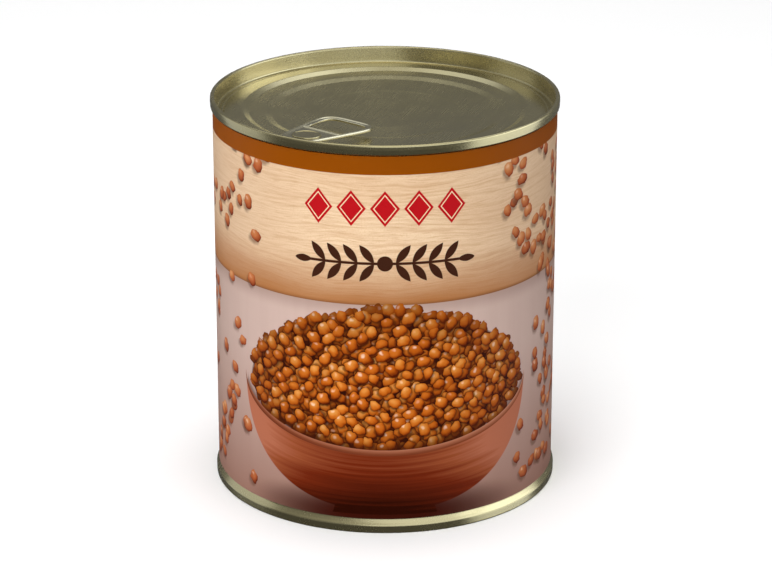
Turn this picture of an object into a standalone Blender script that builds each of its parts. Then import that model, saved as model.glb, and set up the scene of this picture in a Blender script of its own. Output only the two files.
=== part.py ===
"""Tall food tin with an easy-open end, a ring pull and a paper label.

The tin stands on its bottom seam. The origin is the centre of that foot, +Z is up,
and the front of the label faces -Y.
"""
import math

import bmesh
import bpy
from mathutils import Matrix

MM = 0.001

# Driving dimensions of the tin
HEIGHT = 118.0 * MM
SEAM_RADIUS = 51.3 * MM
SEAM_HEIGHT = 3.0 * MM
SEAM_WALL = 1.3 * MM
LABEL_RADIUS = 50.6 * MM
LABEL_THICKNESS = 0.25 * MM
LABEL_FOOT = 4.3 * MM
LABEL_GAP = 0.25 * MM
GAP = 0.3 * MM
TURNED_STEPS = 80
MERGE_DISTANCE = 0.01 * MM

# Rounding of the two seams, worked out as arcs
RIM_ROUND = 0.45 * MM
FOOT_ROUND = 0.25 * MM
HEM_ROUND = 0.35 * MM
RIM_STEPS = 3
FOOT_STEPS = 2
HEM_STEPS = 2

# Both ends are pressed from one sheet, drawn thicker than real tinplate
SHEET = 0.7 * MM
BODY_RADIUS = LABEL_RADIUS - LABEL_THICKNESS - LABEL_GAP
CHUCK_WALL_FOOT_RADIUS = 49.4 * MM
WALL_SKIRT_DEPTH = 5.6 * MM

# Panels as (radius, depth below the rim), from the axis outwards
OPENING_PANEL = [
    (0.0, 7.6 * MM),
    (9.7 * MM, 7.3 * MM),
    (22.9 * MM, 6.39 * MM),
    (24.0 * MM, 6.24 * MM),
    (33.3 * MM, 5.64 * MM),
    (35.6 * MM, 5.05 * MM),
    (39.8 * MM, 4.84 * MM),
    (41.8 * MM, 4.04 * MM),
    (CHUCK_WALL_FOOT_RADIUS, 4.75 * MM),
]
BOTTOM_PANEL = [
    (0.0, 6.2 * MM),
    (20.0 * MM, 5.8 * MM),
    (31.0 * MM, 5.4 * MM),
    (32.5 * MM, 4.9 * MM),
    (39.0 * MM, 4.8 * MM),
    (40.5 * MM, 4.2 * MM),
    (47.0 * MM, 4.2 * MM),
    (CHUCK_WALL_FOOT_RADIUS, 4.8 * MM),
]

# Ring pull, in its own frame: +X from the nose to the ring, Z = 0 on its top face
TAB_CENTRE = (-17.95 * MM, -25.5 * MM)
TAB_TURN = math.radians(50.4)
TAB_HALF_LENGTH = 14.6 * MM
TAB_HALF_WIDTH = 7.9 * MM
TAB_TAPER = 0.35
TAB_SQUARENESS = 4.7
TAB_THICKNESS = 1.05 * MM
TAB_NOSE_DEPTH = 2.42 * MM
TAB_RING_DEPTH = 3.82 * MM
TAB_FRAME_WIDTH = 2.1 * MM
TAB_EDGE_ROUND = 0.3 * MM
TAB_EDGE_SEGMENTS = 2
TAB_EDGE_LIMIT = math.radians(50.0)
TAB_OUTLINE_POINTS = 44
WEB_TOP = 0.55 * MM
WEB_THICKNESS = 0.3 * MM
WEB_END = 0.2 * MM
WEB_BITE = 0.9 * MM
RIVET_X = -6.8 * MM
RIVET_HOLE_RADIUS = 2.3 * MM
RIVET_POST_RADIUS = 1.9 * MM
RIVET_POST_FOOT = -2.65 * MM
RIVET_HEAD_RADIUS = 4.1 * MM
RIVET_HEAD_TOP = 0.0
RIVET_ROUND = 0.15 * MM
RIVET_STEPS = 32


def clear_scene():
    """Remove the objects that the file opened with."""
    for item in list(bpy.data.objects):
        bpy.data.objects.remove(item, do_unlink=True)


def new_collection(name):
    collection = bpy.data.collections.new(name)
    bpy.context.scene.collection.children.link(collection)
    return collection


def material(name, colour, roughness, metallic):
    """A Principled material with one colour, given as linear RGB."""
    result = bpy.data.materials.new(name)
    result.use_nodes = True
    shader = result.node_tree.nodes["Principled BSDF"]
    shader.inputs["Base Color"].default_value = (*colour, 1.0)
    shader.inputs["Roughness"].default_value = roughness
    shader.inputs["Metallic"].default_value = metallic
    return result


def arc(centre, radius, start, end, steps):
    """Points on an arc in the profile plane; angles in degrees, from +X towards +Z."""
    points = []
    for step in range(steps + 1):
        angle = math.radians(start + (end - start) * step / steps)
        points.append((centre[0] + radius * math.cos(angle), centre[1] + radius * math.sin(angle)))
    return points


def turned(name, profile, collection, finish, steps=TURNED_STEPS, closed=False):
    """Turn a profile of (radius, height) points about +Z into one closed solid."""
    mesh = bpy.data.meshes.new(name)
    edges = [(index, index + 1) for index in range(len(profile) - 1)]
    if closed:
        edges.append((len(profile) - 1, 0))
    mesh.from_pydata([(radius, 0.0, height) for radius, height in profile], edges, [])
    turned_object = bpy.data.objects.new(name, mesh)
    collection.objects.link(turned_object)
    screw = turned_object.modifiers.new("Turn", "SCREW")
    screw.axis = "Z"
    screw.steps = steps
    screw.render_steps = steps
    screw.use_merge_vertices = True
    screw.merge_threshold = MERGE_DISTANCE
    screw.use_smooth_shade = True
    mesh.materials.append(finish)
    return turned_object


def end_profile(panel, rim_round, rim_steps):
    """Outline of one seamed end as (radius, depth below its own rim), from the outside in.

    It follows the panel outwards, climbs the chuck wall, goes over the seam and down its
    outer face, runs in under the hem to the wall's skirt, and comes back one sheet thickness
    behind the panel.
    """
    inner_radius = SEAM_RADIUS - SEAM_WALL
    over = arc((inner_radius + rim_round, rim_round), rim_round, 180.0, 270.0, rim_steps)
    over += arc((SEAM_RADIUS - rim_round, rim_round), rim_round, 270.0, 360.0, rim_steps)
    hem = arc((SEAM_RADIUS - HEM_ROUND, SEAM_HEIGHT - HEM_ROUND), HEM_ROUND, 0.0, 90.0, HEM_STEPS)
    skirt = [(BODY_RADIUS, SEAM_HEIGHT), (BODY_RADIUS, WALL_SKIRT_DEPTH)]
    back = [(radius, depth + SHEET) for radius, depth in reversed(panel[:-1])]
    return panel + over + hem + skirt + back


def body_face(panel):
    """The face of the filled body behind a panel, one gap clear of it, from the wall inwards."""
    face = [(BODY_RADIUS, WALL_SKIRT_DEPTH + GAP)]
    face += [(radius, depth + SHEET + GAP) for radius, depth in reversed(panel[:-1])]
    return face


def can_body(collection, finish):
    """The filled body behind the label: a cylinder whose two faces follow the pressed ends."""
    top = [(radius, HEIGHT - depth) for radius, depth in reversed(body_face(OPENING_PANEL))]
    bottom = body_face(BOTTOM_PANEL)
    return turned("can_body", top + bottom, collection, finish)


def bottom_end(collection, finish):
    """The plain bottom end, seamed on, which the tin stands on."""
    outline = end_profile(BOTTOM_PANEL, FOOT_ROUND, FOOT_STEPS)
    return turned("bottom_end", outline[::-1], collection, finish)


def tab_matrix():
    """Place of the ring pull: turned about Z, and sloping down from the nose to the ring."""
    slope = math.atan2(TAB_RING_DEPTH - TAB_NOSE_DEPTH, 2.0 * TAB_HALF_LENGTH)
    height = HEIGHT - (TAB_NOSE_DEPTH + TAB_RING_DEPTH) / 2.0
    place = Matrix.Translation((TAB_CENTRE[0], TAB_CENTRE[1], height))
    return place @ Matrix.Rotation(TAB_TURN, 4, "Z") @ Matrix.Rotation(slope, 4, "Y")


def easy_open_end(collection, cutters, finish):
    """The opening end with its stepped panel, and the rivet that holds the ring pull."""
    pressed = end_profile(OPENING_PANEL, RIM_ROUND, RIM_STEPS)
    outline = [(radius, HEIGHT - depth) for radius, depth in pressed]
    end = turned("easy_open_end", outline, collection, finish)
    head_centre = (RIVET_HEAD_RADIUS - RIVET_ROUND, RIVET_HEAD_TOP - RIVET_ROUND)
    head_side = arc(head_centre, RIVET_ROUND, 90.0, 0.0, RIM_STEPS)
    head_foot = GAP - WEB_TOP
    rivet_outline = [(0.0, RIVET_HEAD_TOP)] + head_side + [
        (RIVET_POST_RADIUS, head_foot),
        (RIVET_POST_RADIUS, RIVET_POST_FOOT),
        (0.0, RIVET_POST_FOOT),
    ]
    rivet = turned("rivet", rivet_outline, cutters, finish, steps=RIVET_STEPS)
    rivet.matrix_world = tab_matrix() @ Matrix.Translation((RIVET_X, 0.0, 0.0))
    rivet.hide_render = True
    rivet.display_type = "WIRE"
    join = end.modifiers.new("Rivet", "BOOLEAN")
    join.operation = "UNION"
    join.solver = "EXACT"
    join.object = rivet
    return end


def tab_outline(inset):
    """Tapered superellipse of the ring pull, pulled in by inset, as (x, y) points."""
    points = []
    half_length = TAB_HALF_LENGTH - inset
    half_width = TAB_HALF_WIDTH - inset
    power = 2.0 / TAB_SQUARENESS
    for step in range(TAB_OUTLINE_POINTS):
        angle = 2.0 * math.pi * step / TAB_OUTLINE_POINTS
        along = math.copysign(abs(math.cos(angle)) ** power, math.cos(angle))
        across = math.copysign(abs(math.sin(angle)) ** power, math.sin(angle))
        points.append((half_length * along, half_width * across * (1.0 + TAB_TAPER * along)))
    return points


def circle_outline(centre, radius, count):
    """Points of a circle in the tab's plane."""
    turns = [2.0 * math.pi * step / count for step in range(count)]
    return [(centre + radius * math.cos(turn), radius * math.sin(turn)) for turn in turns]


def plate(name, outlines, thickness, middle, collection, finish):
    """A flat plate of the given thickness, from 2D curves; inner outlines become holes."""
    curve = bpy.data.curves.new(name + "_outline", "CURVE")
    curve.dimensions = "2D"
    curve.fill_mode = "BOTH"
    curve.extrude = thickness / 2.0
    for outline in outlines:
        spline = curve.splines.new("POLY")
        spline.points.add(len(outline) - 1)
        spline.use_cyclic_u = True
        for point, (x, y) in zip(spline.points, outline):
            point.co = (x, y, 0.0, 1.0)
    drawn = bpy.data.objects.new(name + "_outline", curve)
    collection.objects.link(drawn)
    bpy.context.view_layer.update()
    evaluated = drawn.evaluated_get(bpy.context.evaluated_depsgraph_get())
    mesh = bpy.data.meshes.new_from_object(evaluated)
    bpy.data.objects.remove(drawn, do_unlink=True)
    work = bmesh.new()
    work.from_mesh(mesh)
    bmesh.ops.remove_doubles(work, verts=work.verts, dist=MERGE_DISTANCE)
    bmesh.ops.translate(work, verts=work.verts, vec=(0.0, 0.0, middle))
    bmesh.ops.recalc_face_normals(work, faces=work.faces)
    work.to_mesh(mesh)
    work.free()
    mesh.materials.clear()
    mesh.materials.append(finish)
    solid = bpy.data.objects.new(name, mesh)
    collection.objects.link(solid)
    return solid


def pull_tab(collection, cutters, finish):
    """The ring pull: a rolled frame round the finger hole, and a thin web at the nose."""
    middle = -TAB_THICKNESS / 2.0
    frame_outlines = [tab_outline(0.0), tab_outline(TAB_FRAME_WIDTH)]
    tab = plate("pull_tab", frame_outlines, TAB_THICKNESS, middle, collection, finish)
    rounding = tab.modifiers.new("Rolled edge", "BEVEL")
    rounding.width = TAB_EDGE_ROUND
    rounding.segments = TAB_EDGE_SEGMENTS
    rounding.limit_method = "ANGLE"
    rounding.angle_limit = TAB_EDGE_LIMIT
    inner = tab_outline(TAB_FRAME_WIDTH - WEB_BITE)
    nose = [point for point in inner if point[0] < WEB_END]
    side = max(point[1] for point in nose)
    web_outline = [(WEB_END, side)] + nose + [(WEB_END, -side)]
    rivet_hole = circle_outline(RIVET_X, RIVET_HOLE_RADIUS, RIVET_STEPS)
    web_middle = -WEB_TOP - WEB_THICKNESS / 2.0
    web = plate("web", [web_outline, rivet_hole], WEB_THICKNESS, web_middle, cutters, finish)
    web.hide_render = True
    web.display_type = "WIRE"
    join = tab.modifiers.new("Web", "BOOLEAN")
    join.operation = "UNION"
    join.solver = "EXACT"
    join.object = web
    tab.matrix_world = tab_matrix()
    web.matrix_world = tab_matrix()
    return tab


def label(collection, finish):
    """The paper label, a tube from just above the bottom seam to just under the top one."""
    top = HEIGHT - SEAM_HEIGHT - GAP
    inner_radius = LABEL_RADIUS - LABEL_THICKNESS
    outline = [
        (LABEL_RADIUS, top),
        (LABEL_RADIUS, LABEL_FOOT),
        (inner_radius, LABEL_FOOT),
        (inner_radius, top),
    ]
    return turned("label", outline, collection, finish, closed=True)


def main():
    clear_scene()
    tin = new_collection("tin_can_of_lentils")
    cutters = new_collection("joined_shapes")
    tinplate = material("lacquered_tinplate", (0.36, 0.32, 0.22), 0.32, 1.0)
    bright_steel = material("bright_tab_steel", (0.45, 0.42, 0.32), 0.28, 1.0)
    paper = material("printed_paper", (0.62, 0.42, 0.30), 0.5, 0.0)
    can_body(tin, tinplate)
    bottom_end(tin, tinplate)
    easy_open_end(tin, cutters, tinplate)
    pull_tab(tin, cutters, bright_steel)
    label(tin, paper)
    bpy.context.view_layer.update()


main()
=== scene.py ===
"""Shut tall food tin with an easy-open lid, a ring pull and a printed paper label.

The tin stands on its foot at the origin, +Z is up, and the front of its label faces -Y.
"""
import math

import bmesh
import bpy
import numpy as np
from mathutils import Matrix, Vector


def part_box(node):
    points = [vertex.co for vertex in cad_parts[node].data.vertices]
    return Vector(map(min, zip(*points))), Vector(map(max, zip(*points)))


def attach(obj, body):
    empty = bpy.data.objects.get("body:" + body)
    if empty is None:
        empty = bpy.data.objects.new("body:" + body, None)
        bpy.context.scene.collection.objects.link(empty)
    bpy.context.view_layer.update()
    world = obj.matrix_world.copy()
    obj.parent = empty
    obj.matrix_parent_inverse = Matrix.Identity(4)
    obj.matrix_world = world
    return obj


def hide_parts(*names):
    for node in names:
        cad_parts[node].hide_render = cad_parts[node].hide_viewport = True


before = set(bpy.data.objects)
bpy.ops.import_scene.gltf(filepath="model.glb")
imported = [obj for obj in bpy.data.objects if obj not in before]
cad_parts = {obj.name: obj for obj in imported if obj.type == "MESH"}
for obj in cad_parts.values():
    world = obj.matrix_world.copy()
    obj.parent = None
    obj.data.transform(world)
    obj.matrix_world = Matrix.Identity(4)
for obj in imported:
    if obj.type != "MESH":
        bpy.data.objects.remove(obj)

bl_info = {
    "name": "Lentil Tin",
    "version": (1, 0, 0),
    "blender": (4, 5, 0),
    "location": "View3D > Sidebar > Tin",
    "description": "Builds the surfaces, finishes and stage of a shut food tin",
    "category": "Object",
}

MM = 0.001
BODY = "root"

# Places read from the frame
LID_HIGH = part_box("easy_open_end")[1]
LABEL_LOW, LABEL_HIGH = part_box("label")
RIM_TOP = LID_HIGH.z
SEAM_RADIUS = LID_HIGH.x
LABEL_RADIUS = LABEL_HIGH.x
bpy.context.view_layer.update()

# Seams and pressed panels: (radius, depth below the rim, rounding), in metres
SEAM_WALL = 1.3 * MM
SEAM_HEIGHT = 3.0 * MM
WALL_RADIUS = 50.1 * MM
WALL_SKIRT_DEPTH = 5.6 * MM
SHEET = 0.7 * MM
SCORE_RADIUS = 47.5 * MM
SCORE_WIDTH = 0.3 * MM
SCORE_DEPTH = 0.12 * MM
TURNED_SEGMENTS = 360
LID_PANEL = [
    (0.0, 7.6 * MM, 0.0),
    (9.7 * MM, 7.3 * MM, 9.0 * MM),
    (22.9 * MM, 6.39 * MM, 0.3 * MM),
    (24.0 * MM, 6.24 * MM, 0.3 * MM),
    (33.3 * MM, 5.64 * MM, 0.9 * MM),
    (35.6 * MM, 5.05 * MM, 0.7 * MM),
    (39.8 * MM, 4.84 * MM, 0.9 * MM),
    (41.8 * MM, 4.04 * MM, 0.7 * MM),
    (SCORE_RADIUS - SCORE_WIDTH, 4.56 * MM, 0.05 * MM),
    (SCORE_RADIUS, 4.60 * MM + SCORE_DEPTH, 0.05 * MM),
    (SCORE_RADIUS + SCORE_WIDTH, 4.62 * MM, 0.05 * MM),
    (49.4 * MM, 4.75 * MM, 0.5 * MM),
]
BOTTOM_PANEL = [
    (0.0, 6.2 * MM, 0.0),
    (20.0 * MM, 5.8 * MM, 9.0 * MM),
    (31.0 * MM, 5.4 * MM, 0.9 * MM),
    (32.5 * MM, 4.9 * MM, 0.7 * MM),
    (39.0 * MM, 4.8 * MM, 0.9 * MM),
    (40.5 * MM, 4.2 * MM, 0.7 * MM),
    (47.0 * MM, 4.2 * MM, 0.8 * MM),
    (49.4 * MM, 4.8 * MM, 0.5 * MM),
]

# Where each seam turns in to the wall: a sharp hem under the label's top edge, a cove at the foot
TOP_HEM = [
    (SEAM_RADIUS, 1.4 * MM, 0.0),
    (SEAM_RADIUS - 0.1 * MM, SEAM_HEIGHT, 0.45 * MM),
    (WALL_RADIUS + 0.1 * MM, SEAM_HEIGHT - 0.15 * MM, 0.0),
]
FOOT_HEM = [
    (SEAM_RADIUS, 2.3 * MM, 0.7 * MM),
    (SEAM_RADIUS - 0.55 * MM, SEAM_HEIGHT, 0.6 * MM),
    (WALL_RADIUS, SEAM_HEIGHT + 0.9 * MM, 0.8 * MM),
]

# Ring pull, in its own frame: +X from the nose to the ring, Z = 0 on its top face
TAB_CENTRE = (-17.95 * MM, -25.5 * MM)
TAB_TURN = math.radians(50.4)
TAB_HALF_LENGTH = 14.6 * MM
TAB_HALF_WIDTH = 7.9 * MM
TAB_TAPER = 0.35
TAB_SQUARENESS = 4.7
TAB_THICKNESS = 1.05 * MM
TAB_NOSE_DEPTH = 2.42 * MM
TAB_RING_DEPTH = 3.82 * MM
FRAME_WIDTH = 2.1 * MM
FRAME_GROOVE = 0.2 * MM
FRAME_DROP = 0.3 * MM
NOSE_DROP = 0.35 * MM
FRAME_LEAN = 0.14
WEB_END = 0.2 * MM
WEB_TOP = 0.45 * MM
WEB_THICKNESS = 0.35 * MM
RIVET_X = -6.8 * MM
RIVET_HOLE = 2.3 * MM
RIVET_POST = 1.9 * MM
RIVET_POST_FOOT = 2.65 * MM
RIVET_HEAD = 4.25 * MM
RIVET_FACE = 0.3 * MM
RIVET_RING = 0.15 * MM
RIVET_SEGMENTS = 96

# Tinplate: its lacquer, the angle of its rolling lines and how its pressed sheet waves
LACQUER_WEIGHT = 0.2
LACQUER_ROUGHNESS = 0.12
LID_ROUGHNESS = 0.24
TAB_ROUGHNESS = 0.22
ROLLING_TURN = math.radians(-71.0)
WAVE_LENGTH = 10.0 * MM
WAVE_HEIGHT = 0.05 * MM

# Label's wrap: where the paper starts, the turn over which its end climbs onto that start, and
# the rows of points down each face
LABEL_START = math.radians(-150.0)
LAP_RISE = math.radians(3.0)
LABEL_ROWS = 24

# Print on the label, in millimetres: arc length from the front's centre line, and height
WRAP_MM = 2.0 * math.pi * LABEL_RADIUS / MM
FACE_MM = WRAP_MM / 2.0
INK_EDGE = 0.06
BAND_FOOT = 109.25
BOARD_FOOT = 70.5
BOWL_RIM = 42.0
BOWL_HALF_WIDTH = 47.0
RIM_DIP = 17.0
BOWL_FOOT = 5.6
BOWL_SIDE_POWER = 2.5
BOWL_DROP_POWER = 2.1
FOOT_RING = 2.4
FOOT_HALF_WIDTH = 17.0
LIP = 0.95
HEAP_HALF_WIDTH = 45.0
HEAP_HEIGHT = 27.5
HEAP_SQUARENESS = 1.85
LOZENGE_HEIGHT = 99.3
LOZENGE_SPACING = 9.6
LOZENGE_COUNT = 5
LOZENGE_HALF_WIDTH = 4.3
LOZENGE_HALF_HEIGHT = 5.4
SPRIG_HEIGHT = 83.0
SPRIG_START = 3.0
SPRIG_REACH = 24.0
LEAF_PAIRS = 4
LEAF_PITCH = 4.7
LEAF_LENGTH = 7.0
LEAF_HALF_WIDTH = 1.25
LEAF_ANGLE = math.radians(52.0)

# Inks that shade the fields, as sRGB
# Painted shade: the board's ink for the sides of each face, where the tin's wall turns away from
# the light
BOARD_SIDE_PAINTED_SHADE = "c8a88a"
BOARD_DARK = "a36838"
BOARD_LIP = "7a4a28"
FIELD_STREAK = "b09488"
# Painted shade: the mauve field's ink for the sides of each face, where the tin's wall turns away
# from the light
FIELD_SIDE_PAINTED_SHADE = "b0968b"
FIELD_LOW = "92695a"
FIELD_SHADE = "907569"
GROUND_SHADOW = "3a0f05"
CORE = "3b1304"
GAP_SHADOW = "2c0d03"
HEAP_SHADE = "552204"
LOOSE_SHADOW = "5b3a28"
GLEAM = "fff0da"

# Colour ramps from a lentil's or the clay's shaded side to its lit side: (light, sRGB)
HEAP_TONES = (
    (0.06, "4a1401"), (0.26, "863504"), (0.48, "b3560f"), (0.68, "c97022"), (0.86, "d98f40"),
    (0.97, "e8b270"), (1.0, "f4d09f"),
)
LOOSE_TONES = (
    (0.08, "5c1f0d"), (0.3, "8a3c1c"), (0.55, "ab5930"), (0.75, "bd7443"), (1.0, "d49c68"),
)
CLAY_TONES = (
    (0.08, "2c0800"), (0.3, "4f1604"), (0.5, "6b230a"), (0.72, "8f4829"), (0.95, "ab654a"),
)
LIP_TONES = ((0.0, "4e1c0c"), (0.45, "7c3f26"), (0.8, "a3654a"), (1.0, "bd8265"))

# A printed lentil: how its oval is squeezed, the spread of its size, the way to its light and
# where its gleam sits
LENTIL_OVAL = (0.92, 1.2, 1.0)
LENTIL_SIZES = (0.88, 1.14)
LIGHT_FROM = (-0.5, 0.87, 0.0)
GLEAM_AT = (-0.3, 0.42, 0.0)

# Lattices of lentils: (pitch, turn, shift), with the gloom or the scarcity of each layer
LATTICE_JITTER = 0.62
HEAP_LAYERS = (
    ((3.5, 1.3, 23.0), 0.6), ((3.7, 0.35, 11.0), 0.4), ((3.85, 2.1, 57.0), 0.18),
    ((4.4, 0.9, 31.0), 0.0),
)
LOOSE_LAYERS = (((6.2, 0.5, 13.0), 0.48), ((6.9, 1.9, 41.0), 0.53))

# Loose lentils: their size beside the heap's, the shift of their shadow, their lowest place, and
# how far they keep from the centre line by their height, as (slope, offset)
LOOSE_SCALE = 1.08
LOOSE_CAST = (0.8, 1.1, 0.0)
LOOSE_FOOT = 8.0
CLUSTER_SCALE = 0.055
CLEAR_OF_BOWL = (0.42, 34.0)
CLEAR_OF_HEAP = (-0.23, 60.0)
BOARD_LINES = (
    # along, across, detail, least noise that shows, strength
    (0.05, 1.1, 3.0, 0.45, 0.5),
    (0.2, 3.2, 2.0, 0.48, 0.55),
    (2.2, 2.6, 2.0, 0.5, 0.3),
)

# Photo's camera, fitted to the tin's two rims
PHOTO_WIDTH = 772
CAMERA_DISTANCE = 920.9 * MM
CAMERA_ELEVATION = math.radians(20.156)
FOCAL_PX = 3073.4
SHIFT_X_PX = 1.0
SHIFT_Y_PX = -7.42
SENSOR_MM = 36.0
FLOOR_HALF = 6.0
FLOOR_WHITE = (0.93, 0.93, 0.93, 1.0)

# Soft boxes: name, place, size, power, and whether they light matt or glossy surfaces
GLOSS_TINT = (0.94, 1.0, 1.14)
LAMPS = (
    ("key", (-0.55, -1.15, 0.75), (0.9, 0.9), 11.5, "diffuse"),
    ("top", (0.0, 0.0, 1.4), (1.2, 1.2), 14.0, "diffuse"),
    ("front_right", (0.45, -1.0, 0.63), (1.8, 1.1), 5.5, "gloss"),
    ("front_left", (-0.75, -0.95, 0.25), (0.9, 0.4), 0.12, "gloss"),
    ("right_strip", (1.0, -0.06, 0.15), (1.2, 1.46), 6.3, "gloss"),
    ("right_high", (0.93, 0.15, 0.58), (0.9, 0.5), 1.3, "gloss"),
    ("left_strip", (-0.97, 0.25, 0.12), (0.8, 1.1), 1.5, "gloss"),
    ("back_right", (0.34, 0.75, 1.0), (0.5, 0.45), 0.8, "gloss"),
    ("back_left", (-0.34, 0.75, 1.0), (0.5, 0.45), 0.44, "gloss"),
)

# Brightness of the studio's surround by the sine of the height above the horizon
SURROUND = (
    (-1.0, 0.085), (-0.4, 0.085), (-0.3, 0.118), (0.0, 0.13), (0.1, 0.165), (0.4, 0.175),
    (0.6, 0.24), (0.7, 0.3), (0.8, 0.45), (0.88, 0.6), (0.95, 1.1), (1.0, 1.6),
)


def linear(hex_colour):
    """An sRGB colour such as "9a4e01" as linear RGB with alpha."""
    channels = [int(hex_colour[place:place + 2], 16) / 255.0 for place in (0, 2, 4)]
    raised = [c / 12.92 if c <= 0.04045 else ((c + 0.055) / 1.055) ** 2.4 for c in channels]
    return (*raised, 1.0)


def colour_property(name, description, hex_colour):
    return bpy.props.FloatVectorProperty(
        name=name, description=description, subtype="COLOR", size=4,
        min=0.0, max=1.0, default=linear(hex_colour),
    )


class TinSizes(bpy.types.PropertyGroup):
    """Sizes that a user might change."""

    paper: bpy.props.FloatProperty(
        name="Paper thickness", description="Thickness of the label's paper",
        default=0.1 * MM, min=0.05 * MM, max=0.25 * MM, unit="LENGTH", precision=5,
    )
    lap: bpy.props.FloatProperty(
        name="Lap", description="Width of the glued lap where the label's ends meet",
        default=8.0 * MM, min=2.0 * MM, max=20.0 * MM, unit="LENGTH", precision=4,
    )
    lip: bpy.props.FloatProperty(
        name="Lip height", description="Height of the curled lip at the end of the tab's web",
        default=0.3 * MM, min=0.0, max=0.5 * MM, unit="LENGTH", precision=5,
    )
    grain: bpy.props.FloatProperty(
        name="Rolling grain", description="Spacing of the tinplate's rolling lines",
        default=0.45 * MM, min=0.1 * MM, max=2.0 * MM, unit="LENGTH", precision=5,
    )
    lentil: bpy.props.FloatProperty(
        name="Printed lentil", description="Width of a lentil in the label's print",
        default=3.7 * MM, min=2.0 * MM, max=8.0 * MM, unit="LENGTH", precision=4,
    )


class TinColours(bpy.types.PropertyGroup):
    """Colours that a user might change."""

    tinplate: colour_property("Tinplate", "Gold-lacquered tinplate", "c4b98b")
    tab: colour_property("Ring pull", "Steel of the ring pull", "d3cba9")
    band: colour_property("Band", "Brown band at the top of the label", "8a4500")
    board: colour_property("Board", "Pale field with a wood grain", "e8cba8")
    grain: colour_property("Board grain", "Darker lines in the pale field", "bd8f66")
    field: colour_property("Lower field", "Mauve field behind the bowl", "c8aea4")
    ornament: colour_property("Ornament", "Deep red of the lozenges", "b3121a")
    sprig: colour_property("Sprig", "Dark brown of the sprig", "3d1f12")


def rounded(corners, steps=7):
    """A profile of (radius, height) points from (radius, height, rounding) corners.

    Each corner with a rounding becomes an arc that touches both its sides: its centre lies on
    the corner's bisector at rounding / sin(half the corner's angle), and the arc starts
    rounding / tan(half the angle) before the corner. A straight run gets a point just inside
    each end, so that smooth shading stays flat on it.
    """
    pieces = [np.array([corners[0][:2]])]
    for before, corner, after in zip(corners, corners[1:], corners[2:]):
        point = np.array(corner[:2])
        back = np.array(before[:2]) - point
        ahead = np.array(after[:2]) - point
        reach = 0.45 * min(np.hypot(*back), np.hypot(*ahead))
        back /= np.hypot(*back)
        ahead /= np.hypot(*ahead)
        half = 0.5 * math.acos(np.clip(back @ ahead, -1.0, 1.0))
        if corner[2] <= 0.0 or half > math.radians(89.8):
            pieces.append(point[None])
            continue
        radius = min(corner[2], reach * math.tan(half))
        bisector = (back + ahead) / np.hypot(*(back + ahead))
        centre = point + bisector * radius / math.sin(half)
        start = point + back * radius / math.tan(half) - centre
        end = point + ahead * radius / math.tan(half) - centre
        sweep = math.atan2(start[0] * end[1] - start[1] * end[0], start @ end)
        turn = np.linspace(0.0, sweep, steps)[:, None]
        quarter = np.array([-start[1], start[0]])
        pieces.append(centre + start * np.cos(turn) + quarter * np.sin(turn))
    pieces.append(np.array([corners[-1][:2]]))
    profile = np.concatenate(pieces)
    runs = np.diff(profile, axis=0)
    length = np.hypot(runs[:, 0], runs[:, 1])
    inset = np.minimum(0.12 * MM, 0.2 * length)[:, None] * runs / np.maximum(length, 1e-12)[:, None]
    dense = np.stack([profile[:-1], profile[:-1] + inset, profile[1:] - inset], axis=1)
    long_enough = np.stack([length > 0.0, length > 0.5 * MM, length > 0.5 * MM], axis=1)
    return np.concatenate([dense[long_enough], profile[-1:]])


def grid_mesh(name, points, wrap_rows=False, wrap_columns=False):
    """A mesh of quads from a grid of points, shape (rows, columns, 3).

    Face (i, j) joins points (i, j), (i + 1, j), (i + 1, j + 1) and (i, j + 1), and a wrapped
    direction also joins its last line to its first. Points that coincide, as at a pole, are
    merged.
    """
    rows, columns = points.shape[:2]
    row = np.arange(rows if wrap_rows else rows - 1)[:, None]
    column = np.arange(columns if wrap_columns else columns - 1)[None, :]
    row_after = (row + 1) % rows
    column_after = (column + 1) % columns
    corners = np.stack([
        row * columns + column,
        row_after * columns + column,
        row_after * columns + column_after,
        row * columns + column_after,
    ], axis=-1).reshape(-1, 4)
    mesh = bpy.data.meshes.new(name)
    mesh.from_pydata(points.reshape(-1, 3), [], corners)
    work = bmesh.new()
    work.from_mesh(mesh)
    bmesh.ops.remove_doubles(work, verts=work.verts, dist=1e-7)
    bmesh.ops.recalc_face_normals(work, faces=work.faces)
    work.to_mesh(mesh)
    work.free()
    mesh.shade_smooth()
    return mesh


def turned(name, profile, segments):
    """A surface of revolution: a profile's point (r, z) goes round at x = r sin a, y = -r cos a."""
    angle = np.linspace(0.0, 2.0 * math.pi, segments, endpoint=False)[None, :]
    radius = profile[:, 0:1]
    points = np.stack([
        radius * np.sin(angle),
        -radius * np.cos(angle),
        np.broadcast_to(profile[:, 1:2], (len(profile), segments)),
    ], axis=-1)
    return grid_mesh(name, points, wrap_columns=True)


def piece(name, mesh, finish, slot, *nodes):
    """Put a finished mesh in the scene, riding on the tin and standing for the CAD nodes."""
    made = bpy.data.objects.new(name, mesh)
    bpy.context.scene.collection.objects.link(made)
    mesh.materials.clear()
    mesh.materials.append(finish)
    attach(made, BODY)
    if nodes:
        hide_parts(*nodes)
    return made


def end_corners(panel, rim_inner, rim_outer, hem):
    """Corners of a seamed end, from the panel's centre over the seam and back behind the panel."""
    inner = SEAM_RADIUS - SEAM_WALL
    over = [(inner, 0.0, rim_inner), (SEAM_RADIUS - 0.04 * MM, 0.0, rim_outer)]
    skirt = [(WALL_RADIUS, WALL_SKIRT_DEPTH, 0.0)]
    behind = [(radius, depth + SHEET, 0.0) for radius, depth, _ in reversed(panel[:-4])]
    return panel + over + hem + skirt + behind


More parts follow.
